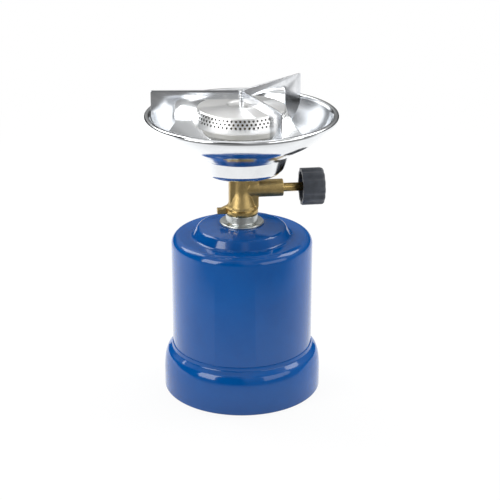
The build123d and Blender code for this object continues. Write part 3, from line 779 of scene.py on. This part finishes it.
def forgedColumn():
    # bell and shaft, flat block, arm and stop, run together and relaxed into one forging
    low, high = valve["bodyFoot"], valve["bodyTop"]
    deep = valve["blockHalfDepth"]
    block = cubeBetween("block", (-valve["blockLeft"], -deep, low),
                        (valve["blockRight"], deep, high))
    parts = [spunSolid("bell", valve["bell"], edge=0),
             cylinder("core", valve["coreRadius"], (0, 0, low), (0, 0, high)),
             softenEdges(block, valve["blockRound"], 3), valveArm(), stopLug()]
    piece = joined(parts, "valve_forging")
    addModifier(piece, "REMESH", mode="VOXEL", voxel_size=valve["grain"] * mm,
                use_smooth_shade=True)
    addModifier(piece, "SMOOTH", factor=0.5, iterations=valve["relax"])
    return piece


forging = forgedColumn()
cutAway(forging, cylinder("stemBore", valve["boreRadius"],
                          (valve["boreStart"], 0, valve["armAxis"]),
                          (valve["boreEnd"], 0, valve["armAxis"]), valve["boreSides"]))
smoothOver(forging, 50)
finish(forging, "valve", "brass", finishes["forged"], "valve_body")
spigot = spunSolid("valve_spigot", valve["spigot"], steps=valve["spigotSteps"])
finish(spigot, "valve", "brass", finishes["turned"])
print("valve body done")

gland = copyOfNode("stem_gland", "stem_gland_turned")
softenEdges(gland, valve["glandEdge"])
smoothOver(gland)
finish(gland, "valve", "brass", finishes["stem"], "stem_gland")
stem = copyOfNode("valve_stem", "valve_stem_rod")
softenEdges(stem, valve["stemEdge"], angle=50)
smoothOver(stem)
finish(stem, "stem", "stem_brass", finishes["stem"], "valve_stem")
print("stem done")


# knob

knob = {
    "start": 39.0, "end": 53.8, "radius": 12.25, "wall": 2.0, "face": 2.5,
    "hub": 4.95, "hubStart": 43.6, "bore": 2.9, "capEnd": 51.8,
    "flutes": 12, "perFlute": 16, "fluteDepth": 0.9, "land": 0.30,
    "edge": 2.0, "edgeSteps": 6, "faceInset": 1.2, "soft": 0.25, "axis": 138.7,
}


def knobRing(share):
    # the ring's radius at a share of one flute's width
    away = abs(share - 0.5) * 2
    dip = 0.0
    if away < 1 - knob["land"]:
        dip = knob["fluteDepth"] * math.cos(away / (1 - knob["land"]) * quarterTurn)
    return knob["radius"] - dip


def drawRing(now, radius, x):
    # draws the selected ring on to another radius and place along the axis
    move = (x - now[1]) * mm
    bpy.ops.mesh.extrude_region_move(TRANSFORM_OT_translate={"value": (move, 0, 0)})
    ratio = radius / now[0]
    bpy.ops.transform.resize(value=(1, ratio, ratio),
                             center_override=(x * mm, 0, knob["axis"] * mm))
    return radius, x


def flutedKnob():
    # a ring of edges, pressed in at each flute, then drawn along the axis step by step
    count = knob["flutes"] * knob["perFlute"]
    centre = Vector((knob["start"], 0, knob["axis"])) * mm
    startClean()
    bpy.ops.mesh.primitive_circle_add(vertices=count, radius=knob["radius"] * mm, location=centre,
                                      rotation=(quarterTurn, 0, quarterTurn))
    piece = applyPlace(bpy.context.object, "knob_moulding")
    edit(piece)

    def shareOf(co):
        turn = math.atan2(co.z - centre.z, co.y) / fullTurn * knob["flutes"]
        return turn - math.floor(turn)

    for step in range(knob["perFlute"]):
        share = step / knob["perFlute"]
        factor = knobRing(share) / knob["radius"]
        if factor < 1:
            pickVertices(lambda co, share=share: abs((shareOf(co) - share + 0.5) % 1 - 0.5) < 0.02)
            bpy.ops.transform.resize(value=(1, factor, factor), center_override=centre)
    # the length, then the round outer edge, closing in ring by ring
    bpy.ops.mesh.select_all(action="SELECT")
    edge = knob["edge"]
    now = drawRing((knob["radius"], knob["start"]), knob["radius"], knob["end"] - edge)
    for index in range(1, knob["edgeSteps"] + 1):
        angle = quarterTurn * index / knob["edgeSteps"]
        now = drawRing(now, knob["radius"] - edge * (1 - math.cos(angle)),
                       knob["end"] - edge + edge * math.sin(angle))
    bpy.ops.mesh.edge_face_add()
    bpy.ops.mesh.inset(thickness=knob["faceInset"] * mm)
    bpy.ops.mesh.poke()
    # the open end: in over the rim, down the inner wall to the floor, up the hub, into its bore
    pickVertices(lambda co: co.x < centre.x + shaping["merge"] * mm)
    inner, floor = knob["radius"] - knob["wall"], knob["end"] - knob["face"]
    now = (knob["radius"], knob["start"])
    for radius, x in [(inner, knob["start"]), (inner, floor), (knob["hub"], floor),
                      (knob["hub"], knob["hubStart"]), (knob["bore"], knob["hubStart"]),
                      (knob["bore"], knob["capEnd"])]:
        now = drawRing(now, radius, x)
    bpy.ops.mesh.edge_face_add()
    leaveEdit()
    recalculate(piece)
    softenEdges(piece, knob["soft"], segments=3, angle=50)
    return smoothOver(piece, 30)


grip = flutedKnob()
finish(grip, "stem", "knob_plastic", finishes["knob"], "knob")
print("knob done")


# dish and burner

dish = {
    "outside": [(5.3, 151.0), (27.0, 151.0, 6.9), (31.7, 164.3, 1.5), (56.14, 178.67, 23.6),
                (58.8, 187.6, 1.0), (59.8, 189.2, 0.8), (62.0, 189.2, 0.9), (62.0, 187.4)],
    "wall": 0.6, "steps": 256,
}
bowl = spunSheet("dish_spun", dish["outside"], dish["wall"], dish["steps"])
finish(bowl, "valve", "dish_chrome", finishes["chrome"], "dish")
print("dish done")

burner = {
    "bowl": [(6.85, 174.9), (9.2, 174.9), (25.6, 175.9, 5.0), (25.6, 183.9), (31.0, 183.9)],
    "bowlSheet": 0.6, "bowlSteps": 160,
    "cap": [(31.0, 184.6), (28.4, 194.2, 1.3), (9.6, 196.0, 2.0), (8.0, 195.0, 1.5), (0.8, 195.0)],
    "capSheet": 0.5, "radius": 31.0,
    "ports": 66, "portRadius": 0.72, "portRows": (188.283, 190.369, 192.454),
    "portSides": 12, "portIn": 1.4, "portOut": 0.8,
    "seam": 184.5, "taper": 2.6, "skirt": 9.7,  # the skirt's foot, what it narrows by, its height
}
lower = spunSheet("burner_bowl_pressed", burner["bowl"], burner["bowlSheet"],
                  burner["bowlSteps"])
finish(lower, "valve", "head_steel", finishes["head"], "burner_bowl")
upper = spunSheet("burner_cap_pressed", burner["cap"], burner["capSheet"])


def portCutters():
    # each row's first port, copied round the cap; every second row stands half a step on
    made = []
    for row, height in enumerate(burner["portRows"]):
        radius = burner["radius"] - burner["taper"] * (height - burner["seam"]) / burner["skirt"]
        first = cylinder("port", burner["portRadius"], (radius - burner["portIn"], 0, height),
                         (radius + burner["portOut"], 0, height), burner["portSides"])
        for index in range(burner["ports"]):
            angle = (index + row / 2) * 360 / burner["ports"]
            made.append(copyTurned(first, angle, "portCopy"))
        bpy.data.objects.remove(first)
    return joined(made, "portCutters")


cutAway(upper, portCutters())
smoothOver(upper)
finish(upper, "valve", "head_steel", finishes["head"], "burner_cap")
print("burner head done")


# pan supports

supports = {
    "bodies": {"fin_left": "support_left", "fin_front": "support_front",
               "fin_back": "support_back"},
    "edge": 0.16,
}
for node, body in supports["bodies"].items():
    blade = copyOfNode(node, node + "_blade")
    softenEdges(blade, supports["edge"], segments=3, angle=35)
    smoothOver(blade, 30)
    finish(blade, body, "support_steel", finishes["support"], node)
pin = copyOfNode("centre_pin", "centre_pin_riveted")
smoothOver(pin)
finish(pin, "valve", "support_steel", finishes["support"], "centre_pin")
print("pan supports done")

# CAD nodes whose shape is right keep it, and get their finish
keptNodes = {
    "bayonet_ring": "zinc", "neck_nut": "zinc", "gas_cartridge": "tin", "piercing_needle": "needle",
    "cartridge_seal": "rubber", "stem_oring": "rubber", "jet": "turned", "jet_filter": "turned",
    "burner_tube": "turned", "dish_washer": "washer", "fin_washer": "support",
}
for node, name in keptNodes.items():
    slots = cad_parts[node].data.materials
    slots.clear()
    slots.append(finishes[name])
print("kept nodes finished:", len(keptNodes))


# studio

studio = {
    "floorSize": 6.0, "target": (0, 0, 0.09),  # in metres, as the lamps' sizes and places are
    "pale": grey(0.68), "paler": grey(0.72), "mottle": 120, "floorRough": 0.9,
    "lamps": {
        "leftBox": {"azimuth": -149, "elevation": 24, "away": 1.2,
                    "size": (0.58, 0.80), "power": 8.4},
        "rightBox": {"azimuth": -44, "elevation": 20, "away": 1.2,
                     "size": (0.92, 0.62), "power": 3.6},
        "sideBox": {"azimuth": 14, "elevation": 46, "away": 1.2,
                    "size": (0.60, 0.50), "power": 4.6},
        "backLeftBox": {"azimuth": 138, "elevation": 45, "away": 1.2,
                        "size": (0.50, 0.60), "power": 5.0},
        "topBox": {"azimuth": 90, "elevation": 82, "away": 1.3,
                   "size": (1.20, 1.20), "power": 6.0, "mirrored": False},
    },
    # light of the tent on the object: in front, and at its sides and back
    "front": 0.10, "back": 1.75, "turnFront": -0.15, "turnBack": 0.35, "lean": 0.4,
    # what chrome and enamel mirror of it: where it pales, and its darker and brighter parts
    "sky": 0.74, "skyLow": 0.14, "skyHigh": 0.60, "skyFade": 0.56, "partEdge": 0.06,
    "parts": [
        {"azimuth": -113, "inner": 10, "outer": 22, "foot": -0.2, "top": 0.87, "gain": -0.56},
        {"azimuth": 179, "inner": 10, "outer": 18, "foot": -0.2, "top": 0.74, "gain": -0.66},
        {"azimuth": 135, "inner": 25, "outer": 38, "foot": -0.2, "top": 0.34, "gain": -0.35},
        {"azimuth": 163, "inner": 12, "outer": 24, "foot": -0.2, "top": 0.60, "gain": -0.45},
        {"azimuth": 110, "inner": 30, "outer": 50, "foot": 0.60, "top": 1.2, "gain": 0.35},
        {"azimuth": 50, "inner": 25, "outer": 45, "foot": -0.2, "top": 0.80, "gain": -0.20},
        {"azimuth": 62, "inner": 25, "outer": 45, "foot": 0.78, "top": 1.2, "gain": 0.30},
        {"azimuth": -48, "inner": 24, "outer": 34, "foot": 0.50, "top": 0.90, "gain": -0.45},
    ],
    # what they mirror of the floor, painted light: painted shade in front, a painted pool of light
    # behind at the left
    "floorNear": 0.10, "floorFar": 0.28, "floor": 1.1, "floorFade": 0.84, "frontEnd": 0.15,
    "floorLeft": 0.35, "leftStart": 0.03, "leftEnd": 0.08, "leftLean": 0.3, "leftDeep": 0.2,
    # share of the floor that is plain white, near the object and far from it
    "whiteNear": 0.9, "shadeStart": 0.22, "shadeEnd": 0.7,
    "brightest": 2,  # what a mirrored tone of 1 stands for
}
camera = {"distance": 920.2, "height": 456.5, "pitch": 21.4, "azimuth": -7.0, "aside": 5.41,
          "focal": 1493.3, "frame": 500, "sensor": 36.0, "near": 0.01, "far": 20}


def paleFloor():
    startClean()
    bpy.ops.mesh.primitive_plane_add(size=studio["floorSize"], location=(0, 0, 0))
    floor = bpy.context.object
    floor.name = "paleFloor"
    material = bpy.data.materials.new("paleFloor")
    material.use_nodes = True
    tree = material.node_tree
    start = Socket(tree)
    place = start.node("ShaderNodeTexCoord", output=3)
    mottle = start.noise(place, studio["mottle"], 2, 0.55)
    tint = mottle.blend(studio["pale"], studio["paler"])
    surface = tree.nodes["Principled BSDF"]
    surface.inputs["Roughness"].default_value = studio["floorRough"]
    tree.links.new(tint.socket, surface.inputs["Base Color"])
    # white to the camera, with a little of the object's shadow; what is mirrored has its tone
    x, y, _ = axesOf(start, place)
    reach = (x * x + y * y) ** 0.5
    # painted light on the floor, seen only in reflections: painted shade in front of the object, a
    # painted pool of light behind it at the left
    front = reach.clamped(studio["floorNear"], studio["floorFar"])
    front = front * (0 - y).clamped(0.0, studio["frontEnd"])
    behind = (y - x * studio["leftLean"]).clamped(0.0, studio["leftDeep"])
    left = (0 - x).clamped(studio["leftStart"], studio["leftEnd"]) * behind
    glow = studio["floor"] - front * studio["floorFade"] + left * studio["floorLeft"]
    tone = (glow * (1 / studio["brightest"])).blend(grey(0), grey(studio["brightest"]))
    white = start.node("ShaderNodeEmission", {}, {"Color": grey(1)})
    mirrored = start.node("ShaderNodeEmission", {}, {"Color": tone})
    shown = start.node("ShaderNodeMixShader", {},
                       {"Fac": mirroredShare(start), 1: white, 2: mirrored})
    # far from the object no shadow is left, so that the floor ends without an edge
    far = reach.clamped(studio["shadeStart"], studio["shadeEnd"])
    share = far * (1 - studio["whiteNear"]) + studio["whiteNear"]
    mixed = start.node("ShaderNodeMixShader", {}, {"Fac": seenShare(start) * share,
                                                   1: Socket(tree, surface.outputs[0]), 2: shown})
    tree.links.new(mixed.socket, tree.nodes["Material Output"].inputs["Surface"])
    floor.data.materials.append(material)


def seenShare(start):
    # 1 for what the camera, a reflection or a refraction sees
    path = start.node("ShaderNodeLightPath")
    outputs = path.socket.node.outputs
    camera, glossy, through = (Socket(start.tree, outputs[name]) for name in
                               ("Is Camera Ray", "Is Glossy Ray", "Is Transmission Ray"))
    return start.maths("MAXIMUM", start.maths("MAXIMUM", camera, glossy), through)


def mirroredShare(start):
    # 1 for what a reflection sees
    path = start.node("ShaderNodeLightPath")
    return Socket(start.tree, path.socket.node.outputs["Is Glossy Ray"])


def tentPart(x, y, z, part):
    # gain of one part of the tent round its azimuth, between its foot and its top
    turn, edge = math.radians(part["azimuth"]), studio["partEdge"]
    level = (x * x + y * y) ** 0.5
    towards = (x * math.cos(turn) + y * math.sin(turn)) / (level + 0.001)
    outer, inner = (math.cos(math.radians(part[side])) for side in ("outer", "inner"))
    above = z.clamped(part["foot"] - edge, part["foot"] + edge)
    below = 1 - z.clamped(part["top"] - edge, part["top"] + edge)
    return towards.clamped(outer, inner) * above * below * part["gain"]


def softWorld():
    world = bpy.data.worlds.new("softStudio")
    bpy.context.scene.world = world
    world.use_nodes = True
    tree = world.node_tree
    start = Socket(tree)
    direction = start.node("ShaderNodeTexCoord", output=0)
    x, y, z = axesOf(start, direction)
    behind = (y + x * studio["lean"]).clamped(studio["turnFront"], studio["turnBack"])
    light = behind.blend(grey(studio["front"]), grey(studio["back"]))
    low = 1 - z.clamped(studio["skyLow"], studio["skyHigh"])
    bright = studio["sky"] - low * studio["skyFade"]
    for part in studio["parts"]:
        bright = bright + tentPart(x, y, z, part)
    tone = (bright * (1 / studio["brightest"])).blend(grey(0.02), grey(studio["brightest"]))
    ambient = start.node("ShaderNodeBackground", {}, {"Color": light})
    white = start.node("ShaderNodeBackground", {}, {"Color": grey(1)})
    mirrored = start.node("ShaderNodeBackground", {}, {"Color": tone})
    shown = start.node("ShaderNodeMixShader", {},
                       {"Fac": mirroredShare(start), 1: white, 2: mirrored})
    mixed = start.node("ShaderNodeMixShader", {}, {"Fac": seenShare(start), 1: ambient, 2: shown})
    tree.links.new(mixed.socket, tree.nodes["World Output"].inputs["Surface"])


def softLamps():
    for name, facts in studio["lamps"].items():
        light = bpy.data.lights.new(name, "AREA")
        light.shape = "RECTANGLE"
        light.size, light.size_y = facts["size"]
        light.energy = facts["power"]
        lamp = bpy.data.objects.new(name, light)
        bpy.context.scene.collection.objects.link(lamp)
        across, rise = math.radians(facts["azimuth"]), math.radians(facts["elevation"])
        away = Vector((math.cos(across) * math.cos(rise), math.sin(across) * math.cos(rise),
                       math.sin(rise)))
        lamp.visible_glossy = facts.get("mirrored", True)
        lamp.location = Vector(studio["target"]) + away * facts["away"]
        towards = Vector(studio["target"]) - lamp.location
        lamp.rotation_euler = towards.to_track_quat("-Z", "Y").to_euler()


def stoveCamera():
    azimuth, pitch = math.radians(camera["azimuth"]), math.radians(camera["pitch"])
    data = bpy.data.cameras.new("photoCamera")
    data.sensor_width = camera["sensor"]
    data.lens = camera["focal"] / camera["frame"] * camera["sensor"]
    data.clip_start, data.clip_end = camera["near"], camera["far"]
    made = bpy.data.objects.new("photoCamera", data)
    bpy.context.scene.collection.objects.link(made)
    away = Vector((math.sin(azimuth), -math.cos(azimuth), 0)) * camera["distance"]
    aside = Vector((math.cos(azimuth), math.sin(azimuth), 0)) * camera["aside"]
    made.location = (away + aside + Vector((0, 0, camera["height"]))) * mm
    made.rotation_euler = (quarterTurn - pitch, 0, azimuth)
    bpy.context.scene.camera = made


paleFloor()
softWorld()
softLamps()
stoveCamera()
bpy.context.scene.view_settings.view_transform = "Standard"
print("studio ready")
